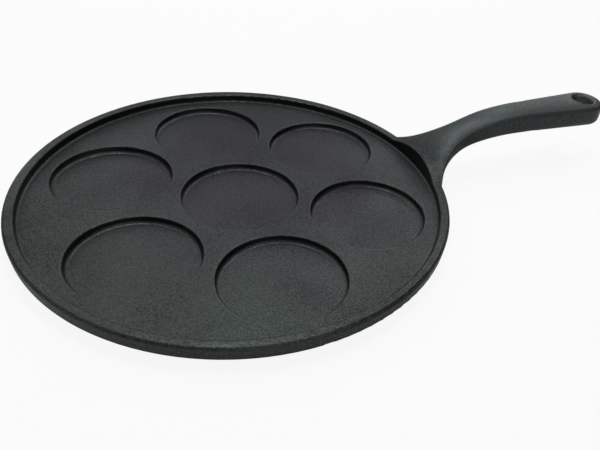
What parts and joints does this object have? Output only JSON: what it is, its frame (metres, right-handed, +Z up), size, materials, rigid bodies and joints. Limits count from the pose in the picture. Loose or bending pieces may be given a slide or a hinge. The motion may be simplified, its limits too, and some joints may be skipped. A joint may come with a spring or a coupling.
{
  "type": "pancake pan",
  "caption": "Round cast iron pan with a low raised rim, shallow round recesses for small pancakes, and an arched handle with a hanging hole.",
  "frame": {"origin": "on the pan's axis, in the plane of the flat pads that it stands on", "axes": "+Z up, +X along the handle away from the pan, +Y across the handle"},
  "size_m": [0.3843, 0.245, 0.0432],
  "materials": {
    "cast_iron": "seasoned, matt with a slight sheen, fine sand-cast grain"
  },
  "bodies": {
    "root": {"pancake_pan": "cast_iron"}
  },
  "joints": []
}
